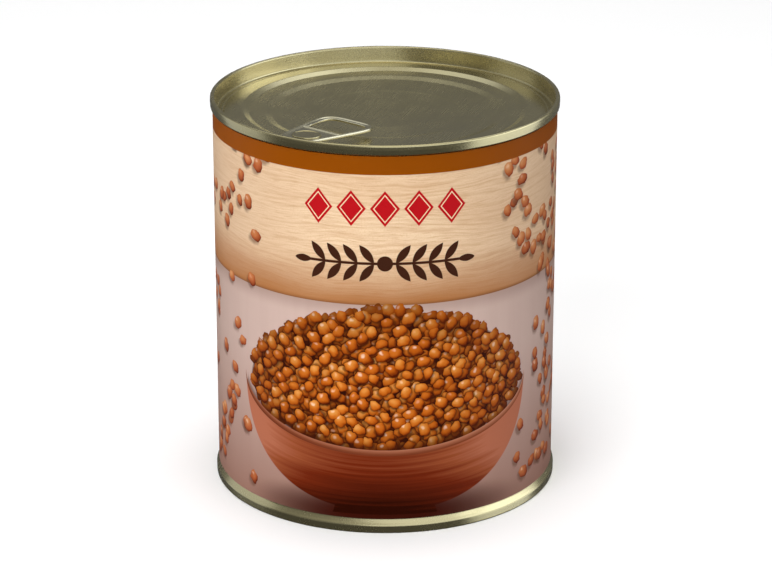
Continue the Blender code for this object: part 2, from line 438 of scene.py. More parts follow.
def tab_frame_matrix():
    """Place of the ring pull: turned about Z, and sloping down from the nose to the ring."""
    slope = math.atan2(TAB_RING_DEPTH - TAB_NOSE_DEPTH, 2.0 * TAB_HALF_LENGTH)
    turn = np.array([
        [math.cos(TAB_TURN), -math.sin(TAB_TURN), 0.0],
        [math.sin(TAB_TURN), math.cos(TAB_TURN), 0.0],
        [0.0, 0.0, 1.0],
    ])
    tilt = np.array([
        [math.cos(slope), 0.0, math.sin(slope)],
        [0.0, 1.0, 0.0],
        [-math.sin(slope), 0.0, math.cos(slope)],
    ])
    height = RIM_TOP - (TAB_NOSE_DEPTH + TAB_RING_DEPTH) / 2.0
    return turn @ tilt, np.array([TAB_CENTRE[0], TAB_CENTRE[1], height])


def on_tab(points):
    """Points in the ring pull's own frame, moved to its place on the lid."""
    rotation, place = tab_frame_matrix()
    return points @ rotation.T + place


def tab_outline(count, inset):
    """The ring pull's outline, pulled in by inset, as evenly spaced points.

    It is a superellipse |x / a|^n + |y / b|^n = 1 whose width grows from the nose to the ring
    by the factor 1 + taper * x / a.
    """
    angle = np.linspace(0.0, 2.0 * math.pi, 4000)
    power = 2.0 / TAB_SQUARENESS
    along = np.sign(np.cos(angle)) * np.abs(np.cos(angle)) ** power
    across = np.sign(np.sin(angle)) * np.abs(np.sin(angle)) ** power
    x = (TAB_HALF_LENGTH - inset) * along
    y = (TAB_HALF_WIDTH - inset) * across * (1.0 + TAB_TAPER * along)
    run = np.concatenate([[0.0], np.cumsum(np.hypot(np.diff(x), np.diff(y)))])
    even = np.linspace(0.0, run[-1], count, endpoint=False)
    return np.stack([np.interp(even, run, x), np.interp(even, run, y)], axis=1)


def rolled_frame():
    """The ring pull's rolled frame: a section carried along the middle of the frame.

    Point (s, a) lies at path(s) + normal(s) * w * c, at the height (d - 1) * h, where (c, d)
    runs round a superellipse, w is half the frame's width and h half its thickness. The outer
    side leans in by lean * c * (1 + d). The upper side also has a groove between its two rolled
    edges, groove * exp(-(c / 0.38)^2), and sinks by drop * (1 - c) / 2 towards the finger hole.
    Round the nose, the groove fades and the drop grows, so that the frame runs into the web.
    """
    path = tab_outline(240, FRAME_WIDTH / 2.0)
    tangent = np.roll(path, -1, axis=0) - np.roll(path, 1, axis=0)
    tangent /= np.hypot(tangent[:, 0], tangent[:, 1])[:, None]
    normal = np.stack([tangent[:, 1], -tangent[:, 0]], axis=1)
    angle = np.linspace(0.0, 2.0 * math.pi, 44, endpoint=False)
    side = np.sign(np.cos(angle)) * np.abs(np.cos(angle)) ** 0.6
    rise = np.sign(np.sin(angle)) * np.abs(np.sin(angle)) ** 0.6
    leant = side - FRAME_LEAN * np.maximum(side, 0.0) * (1.0 + rise)
    flat = path[:, None, :] + normal[:, None, :] * (leant * FRAME_WIDTH / 2.0)[None, :, None]
    ring = np.clip((path[:, 0:1] - WEB_END) / (3.0 * MM), 0.0, 1.0)
    ring = ring * ring * (3.0 - 2.0 * ring)
    drop = FRAME_DROP + NOSE_DROP * (1.0 - ring)
    sunk = FRAME_GROOVE * ring * np.exp(-(side / 0.38) ** 2) + drop * (1.0 - side) / 2.0
    height = (rise - 1.0) * TAB_THICKNESS / 2.0 - np.maximum(rise, 0.0) * sunk
    points = np.concatenate([flat, height[:, :, None]], axis=2)
    return grid_mesh("pull_tab_frame", on_tab(points), wrap_rows=True, wrap_columns=True)


def web_reach(angle):
    """How far the web runs from the rivet's centre at each angle, to the frame or to its end.

    Halving the span 40 times finds where the ray leaves the outline |x / a|^n + |y / (b w)|^n = 1,
    w = 1 + taper * x / a, and the web's straight end cuts it shorter.
    """
    half_length = TAB_HALF_LENGTH - FRAME_WIDTH / 2.0
    half_width = TAB_HALF_WIDTH - FRAME_WIDTH / 2.0
    low = np.zeros_like(angle)
    high = np.full_like(angle, 3.0 * TAB_HALF_LENGTH)
    for _ in range(40):
        middle = (low + high) / 2.0
        x = RIVET_X + middle * np.cos(angle)
        y = middle * np.sin(angle)
        width = half_width * np.maximum(0.2, 1.0 + TAB_TAPER * x / half_length)
        out = np.abs(x / half_length) ** TAB_SQUARENESS + np.abs(y / width) ** TAB_SQUARENESS
        inside = out < 1.0
        low = np.where(inside, middle, low)
        high = np.where(inside, high, middle)
    ahead = np.maximum(np.cos(angle), 1e-6)
    return np.minimum(low, (WEB_END - RIVET_X) / ahead)


def nose_web(lip_height):
    """The thin web at the nose: rings from the rivet's hole out to the frame, closed underneath.

    At angle a the ring t lies at hole + t * (reach(a) - hole). Its height is the web's top plus
    a curled lip, lip_height * exp(-((distance to the web's end - 0.45 mm) / 0.3 mm)^2), and the
    last rings turn down over the rounded edge to the underside.
    """
    angle = np.linspace(0.0, 2.0 * math.pi, 480, endpoint=False)
    reach = web_reach(angle)[:, None]
    edge = WEB_THICKNESS / 2.0
    share = np.linspace(0.0, 1.0, 60)[None, :]
    radius = RIVET_HOLE + share * (reach - edge - RIVET_HOLE)
    bend = np.linspace(0.0, math.pi, 9)[None, 1:]
    round_radius = reach - edge + edge * np.sin(bend)
    round_height = np.broadcast_to(-WEB_TOP - edge + edge * np.cos(bend), round_radius.shape)
    under_share = np.linspace(1.0, 0.0, 8)[None, 1:]
    under = RIVET_HOLE + under_share * (reach - edge - RIVET_HOLE)
    low = np.full_like(under, -WEB_TOP - WEB_THICKNESS)
    radii = np.concatenate([radius, round_radius, under], axis=1)
    heights = np.concatenate([np.full_like(radius, -WEB_TOP), round_height, low], axis=1)
    x = RIVET_X + radii * np.cos(angle)[:, None]
    lip = lip_height * np.exp(-((WEB_END - x - 0.45 * MM) / (0.3 * MM)) ** 2)
    topside = np.arange(radii.shape[1])[None, :] < radius.shape[1]
    heights = heights + np.where(topside, lip, 0.0)
    points = np.stack([x, radii * np.sin(angle)[:, None], heights], axis=-1)
    return grid_mesh("pull_tab_web", on_tab(points), wrap_rows=True, wrap_columns=True)


def rivet_mesh():
    """The rivet: a low button with a coined ring at its edge, turned about its axis, on a post."""
    head_foot = 0.04 * MM - WEB_TOP
    corners = [
        (0.0, -RIVET_FACE, 0.0),
        (3.75 * MM, -RIVET_FACE, 0.2 * MM),
        (3.9 * MM, -RIVET_RING, 0.1 * MM),
        (RIVET_HEAD - 0.1 * MM, -RIVET_RING, 0.12 * MM),
        (RIVET_HEAD, head_foot, 0.04 * MM),
        (RIVET_POST, head_foot, 0.05 * MM),
        (RIVET_POST + 0.1 * MM, -RIVET_POST_FOOT, 0.0),
        (0.0, -RIVET_POST_FOOT, 0.0),
    ]
    profile = rounded(corners, steps=6)
    angle = np.linspace(0.0, 2.0 * math.pi, RIVET_SEGMENTS, endpoint=False)[None, :]
    points = np.stack([
        RIVET_X + profile[:, 0:1] * np.cos(angle),
        profile[:, 0:1] * np.sin(angle),
        np.broadcast_to(profile[:, 1:2], (len(profile), RIVET_SEGMENTS)),
    ], axis=-1)
    return grid_mesh("lid_rivet", on_tab(points), wrap_columns=True)


def label_mesh(paper, lap):
    """The label: a strip of paper wound once round the tin, its end lapped over its start.

    Point (s, t) lies at azimuth start + s, and t runs down the outer face, under the bottom
    edge and up the inner face. The radius rises by one paper thickness over the last few
    degrees before the lap, so that the end lies on the start. UV map Wrap holds millimetres:
    arc length from the front's centre line, and height.
    """
    turn = 2.0 * math.pi
    swing = np.concatenate([
        np.linspace(0.0, turn - LAP_RISE, 470),
        np.linspace(turn - LAP_RISE, turn + lap / LABEL_RADIUS, 26)[1:],
    ])
    step = np.clip((swing - turn + LAP_RISE) / LAP_RISE, 0.0, 1.0)
    lift = paper * step * step * (3.0 - 2.0 * step)
    down = np.linspace(LABEL_HIGH.z, LABEL_LOW.z, LABEL_ROWS)
    height = np.concatenate([down, down[::-1]])[None, :]
    outer = np.concatenate([np.ones(LABEL_ROWS), np.zeros(LABEL_ROWS)])[None, :]
    radius = LABEL_RADIUS - paper * (1.0 - outer) + lift[:, None]
    azimuth = LABEL_START + swing[:, None]
    points = np.stack([
        radius * np.sin(azimuth),
        -radius * np.cos(azimuth),
        np.broadcast_to(height, radius.shape),
    ], axis=-1)
    rows, columns = points.shape[:2]
    row = np.arange(rows - 1)[:, None] * np.ones((1, columns), int)
    column = np.ones((rows - 1, 1), int) * np.arange(columns)[None, :]
    row_corners = np.stack([row, row, row + 1, row + 1], axis=-1).reshape(-1, 4)
    column_after = (column + 1) % columns
    column_corners = np.stack([column, column_after, column_after, column], axis=-1).reshape(-1, 4)
    corners = row_corners * columns + column_corners
    first_end = np.arange(columns)[::-1]
    last_end = (rows - 1) * columns + np.arange(columns)
    mesh = bpy.data.meshes.new("label_paper")
    faces = corners.tolist() + [first_end.tolist(), last_end.tolist()]
    mesh.from_pydata(points.reshape(-1, 3), [], faces)
    arc = (LABEL_START + swing) * LABEL_RADIUS / MM
    loops = np.concatenate([corners.ravel(), first_end, last_end])
    wrap = np.stack([arc[loops // columns], height[0, loops % columns] / MM], axis=1)
    layer = mesh.uv_layers.new(name="Wrap")
    layer.uv.foreach_set("vector", wrap.astype(np.float32).ravel())
    mesh.shade_smooth()
    mesh.set_sharp_from_angle(angle=math.radians(40.0))
    return mesh


# Settings that many shader nodes share
PAINT = {"output": 2, "data_type": "RGBA"}
PLUS = {"operation": "ADD"}
MINUS = {"operation": "SUBTRACT"}
TIMES = {"operation": "MULTIPLY"}
TIMES_PLUS = {"operation": "MULTIPLY_ADD"}
OVER = {"operation": "DIVIDE"}
POWER = {"operation": "POWER"}
ROOT = {"operation": "SQRT"}
UNSIGNED = {"operation": "ABSOLUTE"}
LARGER = {"operation": "MAXIMUM"}
SMALLER = {"operation": "MINIMUM"}
IS_MORE = {"operation": "GREATER_THAN"}
IS_LESS = {"operation": "LESS_THAN"}
REMAINDER = {"operation": "FLOORED_MODULO"}
SCALED = {"operation": "SCALE"}
SPUN = {"rotation_type": "Z_AXIS"}
SOFT = {"interpolation_type": "SMOOTHSTEP"}


def add(tree, kind, inputs=(), output=0, stops=(), **settings):
    """Add a shader node, set it up, fill or link its inputs, and return one output or the node.

    Stops are the (position, sRGB hex or linear colour) pairs of a colour ramp, in rising order.
    """
    node = tree.nodes.new("ShaderNode" + kind)
    for name, value in settings.items():
        setattr(node, name, value)
    pairs = inputs.items() if isinstance(inputs, dict) else enumerate(inputs)
    for socket, value in pairs:
        if isinstance(value, bpy.types.NodeSocket):
            tree.links.new(value, node.inputs[socket])
        else:
            node.inputs[socket].default_value = value
    if stops:
        elements = node.color_ramp.elements
        elements[1].position = stops[-1][0]
        elements[0].position = stops[0][0]
        for position, _ in stops[1:-1]:
            elements.new(position)
        for element, (_, shade) in zip(sorted(elements, key=lambda item: item.position), stops):
            element.color = linear(shade) if isinstance(shade, str) else shade
    return node if output is None else node.outputs[output]


def finish(name, metallic, roughness, specular=0.5):
    """A material with one Principled shader; returns the material, its tree and the shader."""
    made = bpy.data.materials.new(name)
    made.use_nodes = True
    tree = made.node_tree
    shader = tree.nodes["Principled BSDF"]
    shader.inputs["Metallic"].default_value = metallic
    shader.inputs["Roughness"].default_value = roughness
    shader.inputs["Specular IOR Level"].default_value = specular
    return made, tree, shader


def tinplate(name, colour, grain, roughness):
    """Electrolytic tinplate, cold-rolled and roller-coated with a clear gold lacquer.

    The steel gives satin reflections of a warm olive tint, and the lacquer a thinner, whiter
    and sharper gleam over them. Rolling leaves fine parallel streaks of slightly rougher and
    darker metal, and the thin sheet waves a little, which clouds what it reflects. Real rolling
    lines are some 0.05 mm apart: they are drawn as coarse as they need to show.
    """
    made, tree, shader = finish(name, 1.0, roughness)
    shader.inputs["Coat Weight"].default_value = LACQUER_WEIGHT
    shader.inputs["Coat Roughness"].default_value = LACQUER_ROUGHNESS
    place = add(tree, "TexCoord", output=3)
    rolled = add(tree, "Mapping", {0: place, 2: (0.0, 0.0, ROLLING_TURN)})
    across = 1.0 / grain
    stretched = add(tree, "VectorMath", (rolled, (across / 40.0, across, across)), **TIMES)
    lines = add(tree, "TexNoise", {"Vector": stretched, "Scale": 1.0, "Detail": 2.0})
    waves = add(tree, "TexNoise", {"Vector": place, "Scale": 1.0 / WAVE_LENGTH, "Detail": 1.0})
    streaks = add(tree, "MapRange", (lines, 0.3, 0.7, roughness - 0.02, roughness + 0.03))
    clouds = add(tree, "MapRange", (waves, 0.3, 0.7, -0.02, 0.03))
    tree.links.new(add(tree, "Math", (streaks, clouds), **PLUS), shader.inputs["Roughness"])
    shade = add(tree, "MapRange", (lines, 0.3, 0.7, 0.96, 1.03))
    tint = add(tree, "Mix", {0: 1.0, 6: tuple(colour), 7: shade}, blend_type="MULTIPLY", **PAINT)
    tree.links.new(tint, shader.inputs["Base Color"])
    bump = add(tree, "Bump", {"Strength": 1.0, "Distance": WAVE_HEIGHT, "Height": waves})
    tree.links.new(bump, shader.inputs["Normal"])
    return made


def face_x(tree, arc):
    """Arc length folded so that the design comes once at the front and once at the back."""
    ahead = add(tree, "Math", (arc, FACE_MM / 2.0), **PLUS)
    folded = add(tree, "Math", (ahead, FACE_MM), **REMAINDER)
    return add(tree, "Math", (folded, FACE_MM / 2.0), **MINUS)


def lens(tree, x, y, half_width, half_height, power=2.0):
    """|x / half_width|^power + |y / half_height|^power, which is 1 on the outline."""
    terms = []
    for value, half in ((x, half_width), (y, half_height)):
        share = add(tree, "Math", (value, half), **OVER)
        size = add(tree, "Math", (share,), **UNSIGNED)
        terms.append(add(tree, "Math", (size, power), **POWER))
    return add(tree, "Math", terms, **PLUS)


def heap_reach(tree, x, y, inset):
    """How far out of the heap a point is: a dome above the bowl's rim, the rim's dip below it."""
    above = add(tree, "Math", (y, BOWL_RIM), **MINUS)
    higher = add(tree, "Math", (above, 0.0), **LARGER)
    rise = add(tree, "Math", (higher, HEAP_HEIGHT - inset), **OVER)
    lower = add(tree, "Math", (above, 0.0), **SMALLER)
    fall = add(tree, "Math", (lower, RIM_DIP), **OVER)
    level = add(tree, "Math", (rise, fall), **PLUS)
    return lens(tree, x, level, HEAP_HALF_WIDTH - inset, 1.0, HEAP_SQUARENESS)


def board_print(tree, arc, y, place, colours):
    """Pale planed board: fine level grain lines that wander, painted shade on its sides, darker and
    warmer where the tin turns away from the light, and a darker, warmer foot.

    The grain lines are 0.3 to 1 mm apart, as on real softwood.
    """
    slow = add(tree, "VectorMath", (place, (0.02, 0.06, 1.0)), **TIMES)
    wander = add(tree, "TexNoise", {"Vector": slow, "Scale": 1.0, "Detail": 2.0})
    bent = add(tree, "Math", (wander, 9.0, y), **TIMES_PLUS)
    share = add(tree, "MapRange", (wander, 0.35, 0.7, 0.0, 0.3))
    grain = tuple(colours.grain)
    colour = add(tree, "Mix", {0: share, 6: tuple(colours.board), 7: grain}, **PAINT)
    for along, across, detail, least, strength in BOARD_LINES:
        spot = add(tree, "CombineXYZ", (arc, bent, 0.0))
        spot = add(tree, "VectorMath", (spot, (along, across, 1.0)), **TIMES)
        lines = add(tree, "TexNoise", {"Vector": spot, "Scale": 1.0, "Detail": detail})
        share = add(tree, "MapRange", (lines, least, least + 0.25, 0.0, strength))
        colour = add(tree, "Mix", {0: share, 6: colour, 7: grain}, **PAINT)
    # Painted shade towards the sides of each face, where the tin's wall turns away from the light
    side = add(tree, "Math", (face_x(tree, arc),), **UNSIGNED)
    share = add(tree, "MapRange", (side, 12.0, 70.0, 0.0, 0.7))
    colour = add(tree, "Mix", {0: share, 6: colour, 7: linear(BOARD_SIDE_PAINTED_SHADE)}, **PAINT)
    uneven = add(tree, "Math", (wander, 12.0, y), **TIMES_PLUS)
    share = add(tree, "MapRange", (uneven, BOARD_FOOT + 6.0, BOARD_FOOT + 21.0, 0.95, 0.0))
    colour = add(tree, "Mix", {0: share, 6: colour, 7: linear(BOARD_DARK)}, **PAINT)
    share = add(tree, "MapRange", (y, BOARD_FOOT + 0.1, BOARD_FOOT + 1.0, 0.75, 0.0))
    return add(tree, "Mix", {0: share, 6: colour, 7: linear(BOARD_LIP)}, **PAINT)


def field_print(tree, x, y, place, colours):
    """Soft mauve field with painted shade at its sides, where the tin turns away from the light,
    darker towards its foot, and the bowl's shadow on the ground.
    """
    stretched = add(tree, "VectorMath", (place, (0.16, 0.014, 1.0)), **TIMES)
    streaks = add(tree, "TexNoise", {"Vector": stretched, "Scale": 1.0, "Detail": 3.0})
    side = add(tree, "Math", (x,), **UNSIGNED)
    share = add(tree, "MapRange", (streaks, 0.45, 0.8, 0.0, 0.3))
    colour = add(tree, "Mix", {0: share, 6: tuple(colours.field), 7: linear(FIELD_STREAK)}, **PAINT)
    # Painted shade towards the sides of each face, where the tin's wall turns away from the light
    share = add(tree, "MapRange", (side, 20.0, 74.0, 0.0, 0.8))
    colour = add(tree, "Mix", {0: share, 6: colour, 7: linear(FIELD_SIDE_PAINTED_SHADE)}, **PAINT)
    share = add(tree, "MapRange", (y, 2.0, 52.0, 0.95, 0.0))
    colour = add(tree, "Mix", {0: share, 6: colour, 7: linear(FIELD_LOW)}, **PAINT)
    share = add(tree, "MapRange", (y, BOARD_FOOT - 5.0, BOARD_FOOT, 0.0, 0.5), **SOFT)
    colour = add(tree, "Mix", {0: share, 6: colour, 7: linear(FIELD_SHADE)}, **PAINT)
    low = add(tree, "Math", (y, BOWL_FOOT), **MINUS)
    far = lens(tree, x, low, 41.0, 9.0)
    share = add(tree, "MapRange", (far, 0.05, 1.4, 1.0, 0.0), **SOFT)
    return add(tree, "Mix", {0: share, 6: colour, 7: linear(GROUND_SHADOW)}, **PAINT)


def lentil_layer(tree, place, width, lattice, tones, gloss):
    """One layer of printed lentils: a round lit form in each cell of a jittered 2D lattice.

    Each lentil is a turned oval of its own size, lit as a dome, sqrt(1 - out^2), from above
    left. Returns the layer's colour, how far out of its lentil a point is (1 at the edge), and
    the lentil's own centre in the label's millimetres.
    """
    pitch, turn, shift = lattice
    moved_by = (shift, shift * 0.7, 0.0)
    rotated = add(tree, "VectorRotate", {"Vector": place, "Angle": turn}, **SPUN)
    moved = add(tree, "VectorMath", (rotated, moved_by), **PLUS)
    scaled = add(tree, "VectorMath", {0: moved, "Scale": 1.0 / pitch}, **SCALED)
    cells = add(
        tree, "TexVoronoi", {0: scaled, "Scale": 1.0, "Randomness": LATTICE_JITTER}, output=None,
        voronoi_dimensions="2D", feature="F1",
    )
    away = add(tree, "VectorMath", (scaled, cells.outputs["Position"]), **MINUS)
    chance = add(tree, "SeparateColor", (cells.outputs["Color"],), output=None).outputs

    spin = add(tree, "Math", (chance[0], 2.0 * math.pi), **TIMES)
    spun = add(tree, "VectorRotate", {"Vector": away, "Angle": spin}, **SPUN)
    oval = add(tree, "VectorMath", (spun, LENTIL_OVAL), **TIMES)
    half = width / 2.0 / pitch
    small, large = LENTIL_SIZES
    size = add(tree, "MapRange", (chance[1], 0.0, 1.0, small * half, large * half))
    distance = add(tree, "VectorMath", (oval,), output=1, operation="LENGTH")
    out = add(tree, "Math", (distance, size), **OVER)

    upright = add(tree, "VectorRotate", {"Vector": away, "Angle": -turn}, **SPUN)
    slant = add(tree, "VectorMath", (upright, LIGHT_FROM), output=1, operation="DOT_PRODUCT")
    slant = add(tree, "Math", (slant, size), **OVER)
    squared = add(tree, "Math", (out, out), **TIMES)
    dome = add(tree, "Math", (add(tree, "Math", (1.0, squared), use_clamp=True, **MINUS),), **ROOT)
    light = add(tree, "Math", (dome, 0.5, 0.02), **TIMES_PLUS)
    light = add(tree, "Math", (slant, 0.34, light), **TIMES_PLUS)
    light = add(tree, "Math", (chance[2], 0.3, light), **TIMES_PLUS)
    ink = add(tree, "ValToRGB", (light,), stops=tones)

    reach = add(tree, "Math", (1.0, size), **OVER)
    spot = add(tree, "VectorMath", {0: upright, "Scale": reach}, **SCALED)
    spot = add(tree, "VectorMath", (spot, GLEAM_AT), output=1, operation="DISTANCE")
    bright = add(tree, "MapRange", (spot, 0.08, 0.36, 1.0, 0.0), **SOFT)
    wet = add(tree, "MapRange", (chance[1], 0.25, 1.0, 0.0, gloss))
    share = add(tree, "Math", (bright, wet), **TIMES)
    ink = add(tree, "Mix", {0: share, 6: ink, 7: linear(GLEAM)}, **PAINT)

    centre = add(tree, "VectorMath", {0: cells.outputs["Position"], "Scale": pitch}, **SCALED)
    centre = add(tree, "VectorMath", (centre, moved_by), **MINUS)
    centre = add(tree, "VectorRotate", {"Vector": centre, "Angle": -turn}, **SPUN)
    return ink, out, centre


def heap_print(tree, colour, x, y, place, width):
    """A heap of lentils: layers over a dark core, each shading the one below, darker outwards."""
    core = heap_reach(tree, x, y, 1.5)
    in_core = add(tree, "MapRange", (core, 0.98, 1.04, 1.0, 0.0))
    colour = add(tree, "Mix", {0: in_core, 6: colour, 7: linear(CORE)}, **PAINT)
    for lattice, gloom in HEAP_LAYERS:
        ink, out, centre = lentil_layer(tree, place, width, lattice, HEAP_TONES, 0.5)
        middle = add(tree, "SeparateXYZ", (centre,), output=None).outputs
        far = heap_reach(tree, face_x(tree, middle[0]), middle[1], 0.0)
        shadow = add(tree, "MapRange", (out, 1.0, 1.5, 0.7, 0.0), **SOFT)
        share = add(tree, "Math", (in_core, shadow), **TIMES)
        colour = add(tree, "Mix", {0: share, 6: colour, 7: linear(GAP_SHADOW)}, **PAINT)
        share = add(tree, "MapRange", (far, 0.25, 1.0, gloom, min(0.9, gloom + 0.4)))
        ink = add(tree, "Mix", {0: share, 6: ink, 7: linear(HEAP_SHADE)}, **PAINT)
        body = add(tree, "MapRange", (out, 0.95, 1.0, 1.0, 0.0))
        share = add(tree, "Math", (add(tree, "Math", (far, 1.0), **IS_LESS), body), **TIMES)
        colour = add(tree, "Mix", {0: share, 6: colour, 7: ink}, **PAINT)
    return colour


def loose_print(tree, colour, place, width):
    """Loose lentils strewn at both sides in clusters, each with a soft shadow to its lower left."""
    cast = add(tree, "VectorMath", (place, LOOSE_CAST), **PLUS)
    for lattice, scarcity in LOOSE_LAYERS:
        for spot, is_shadow in ((cast, True), (place, False)):
            ink, out, centre = lentil_layer(tree, spot, width, lattice, LOOSE_TONES, 0.25)
            middle = add(tree, "SeparateXYZ", (centre,), output=None).outputs
            side = add(tree, "Math", (face_x(tree, middle[0]),), **UNSIGNED)
            cluster = {"Vector": centre, "Scale": CLUSTER_SCALE, "Detail": 1.0}
            cluster = add(tree, "TexNoise", cluster)
            wanted = add(tree, "Math", (cluster, scarcity), **IS_MORE)
            by_bowl = add(tree, "Math", (middle[1], *CLEAR_OF_BOWL), **TIMES_PLUS)
            by_heap = add(tree, "Math", (middle[1], *CLEAR_OF_HEAP), **TIMES_PLUS)
            clear = add(tree, "Math", (by_bowl, by_heap), **SMALLER)
            beside = add(tree, "Math", (side, clear), **IS_MORE)
            raised = add(tree, "Math", (middle[1], LOOSE_FOOT), **IS_MORE)
            inside = add(tree, "Math", (wanted, beside), **TIMES)
            inside = add(tree, "Math", (inside, raised), **TIMES)
            if is_shadow:
                ink = linear(LOOSE_SHADOW)
                cover = add(tree, "MapRange", (out, 0.55, 1.25, 0.6, 0.0), **SOFT)
            else:
                cover = add(tree, "MapRange", (out, 0.93, 1.0, 1.0, 0.0))
            share = add(tree, "Math", (inside, cover), **TIMES)
            colour = add(tree, "Mix", {0: share, 6: colour, 7: ink}, **PAINT)
    return colour


def bowl_print(tree, colour, x, y):
    """A plain turned terracotta bowl, its lip an arc across the heap's foot.

    The lip's front edge is y = rim - dip * sqrt(1 - (x / half width)^2), and the body's outline
    (|x| / half width)^2.5 + drop^2.1 = 1 with drop the share of the way down to the foot ring.
    """
    side = add(tree, "Math", (x,), **UNSIGNED)
    span = add(tree, "Math", (side, BOWL_HALF_WIDTH), use_clamp=True, **OVER)
    flat = add(tree, "Math", (1.0, add(tree, "Math", (span, span), **TIMES)), **MINUS)
    arch = add(tree, "Math", (flat,), **ROOT)
    lip = add(tree, "Math", (arch, -RIM_DIP, BOWL_RIM), **TIMES_PLUS)
    over = add(tree, "Math", (y, lip), **MINUS)

    fallen = add(tree, "Math", (BOWL_RIM, y), **MINUS)
    deep = BOWL_RIM - BOWL_FOOT - FOOT_RING / 2.0
    drop = add(tree, "Math", (fallen, deep), use_clamp=True, **OVER)
    drop = add(tree, "Math", (drop, BOWL_DROP_POWER), **POWER)
    wide = add(tree, "Math", (side, BOWL_HALF_WIDTH), **OVER)
    wide = add(tree, "Math", (wide, BOWL_SIDE_POWER), **POWER)
    bulge = add(tree, "Math", (wide, drop), **PLUS)
    within = add(tree, "MapRange", (bulge, 0.985, 1.0, 1.0, 0.0))
    under_lip = add(tree, "MapRange", (over, -0.05, 0.05, 1.0, 0.0))
    above_foot = add(tree, "MapRange", (y, BOWL_FOOT + 1.2, BOWL_FOOT + 1.3, 0.0, 1.0))
    body = add(tree, "Math", (add(tree, "Math", (within, under_lip), **TIMES), above_foot), **TIMES)

    flare = add(tree, "Math", (y, 0.3, side), **TIMES_PLUS)
    narrow = add(tree, "MapRange", (flare, FOOT_HALF_WIDTH, FOOT_HALF_WIDTH + 0.2, 1.0, 0.0))
    low = add(tree, "MapRange", (y, BOWL_FOOT + FOOT_RING, BOWL_FOOT + FOOT_RING + 0.1, 1.0, 0.0))
    standing = add(tree, "MapRange", (y, BOWL_FOOT, BOWL_FOOT + 0.1, 0.0, 1.0))
    ring = add(tree, "Math", (add(tree, "Math", (narrow, low), **TIMES), standing), **TIMES)

    wall = add(tree, "Math", (lip, BOWL_FOOT), **MINUS)
    down = add(tree, "Math", (over, wall), **OVER)
    spot = add(tree, "CombineXYZ", (x, down, 3.0))
    spot = add(tree, "VectorMath", (spot, (0.02, 22.0, 1.0)), **TIMES)
    rings = add(tree, "TexNoise", {"Vector": spot, "Scale": 1.0, "Detail": 3.0})
    lit = add(tree, "Math", (x, 0.08 / BOWL_HALF_WIDTH, 0.54), **TIMES_PLUS)
    lit = add(tree, "Math", (add(tree, "Math", (span, span), **TIMES), 0.8, lit), **TIMES_PLUS)
    lit = add(tree, "Math", (lit, add(tree, "MapRange", (down, -1.0, -0.25, -0.55, 0.0))), **PLUS)
    lit = add(tree, "Math", (lit, add(tree, "MapRange", (rings, 0.3, 0.7, -0.08, 0.08))), **PLUS)
    clay = add(tree, "ValToRGB", (lit,), stops=CLAY_TONES)
    share = add(tree, "Math", (body, ring), **LARGER)
    colour = add(tree, "Mix", {0: share, 6: colour, 7: clay}, **PAINT)

    shadow = add(tree, "MapRange", (over, 0.6, 4.2, 0.7, 0.0), **SOFT)
    inner = add(tree, "Math", (span, 0.985), **IS_LESS)
    upper = add(tree, "Math", (over, 0.0), **IS_MORE)
    share = add(tree, "Math", (add(tree, "Math", (inner, upper), **TIMES), shadow), **TIMES)
    colour = add(tree, "Mix", {0: share, 6: colour, 7: linear(CORE)}, **PAINT)

    from_lip = add(tree, "Math", (over,), **UNSIGNED)
    thin = add(tree, "MapRange", (from_lip, LIP - 0.1, LIP, 1.0, 0.0))
    ends = add(tree, "MapRange", (side, BOWL_HALF_WIDTH, BOWL_HALF_WIDTH + 0.2, 1.0, 0.0))
    tone = add(tree, "MapRange", (over, -LIP, LIP, 0.25, 0.85))
    tone = add(tree, "Math", (x, 0.0035, tone), **TIMES_PLUS)
    edge = add(tree, "ValToRGB", (tone,), stops=LIP_TONES)
    share = add(tree, "Math", (thin, ends), **TIMES)
    return add(tree, "Mix", {0: share, 6: colour, 7: edge}, **PAINT)


def lozenge_print(tree, colour, x, y, colours):
    """A row of lozenges, |x / half width| + |y / half height| < 1, each with a pale line inside."""
    half = LOZENGE_SPACING / 2.0
    repeat = add(tree, "Math", (add(tree, "Math", (x, half), **PLUS), LOZENGE_SPACING), **REMAINDER)
    across = add(tree, "Math", (repeat, half), **MINUS)
    above = add(tree, "Math", (y, LOZENGE_HEIGHT), **MINUS)
    out = lens(tree, across, above, LOZENGE_HALF_WIDTH, LOZENGE_HALF_HEIGHT, 1.0)
    side = add(tree, "Math", (x,), **UNSIGNED)
    row = add(tree, "Math", (side, half * LOZENGE_COUNT), **IS_LESS)
    share = add(tree, "Math", (row, add(tree, "MapRange", (out, 0.97, 1.0, 1.0, 0.0))), **TIMES)
    colour = add(tree, "Mix", {0: share, 6: colour, 7: tuple(colours.ornament)}, **PAINT)
    from_line = add(tree, "Math", (add(tree, "Math", (out, 0.74), **MINUS),), **UNSIGNED)
    thin = add(tree, "MapRange", (from_line, 0.035, 0.05, 1.0, 0.0))
    share = add(tree, "Math", (row, thin), **TIMES)
    return add(tree, "Mix", {0: share, 6: colour, 7: tuple(colours.board)}, **PAINT)


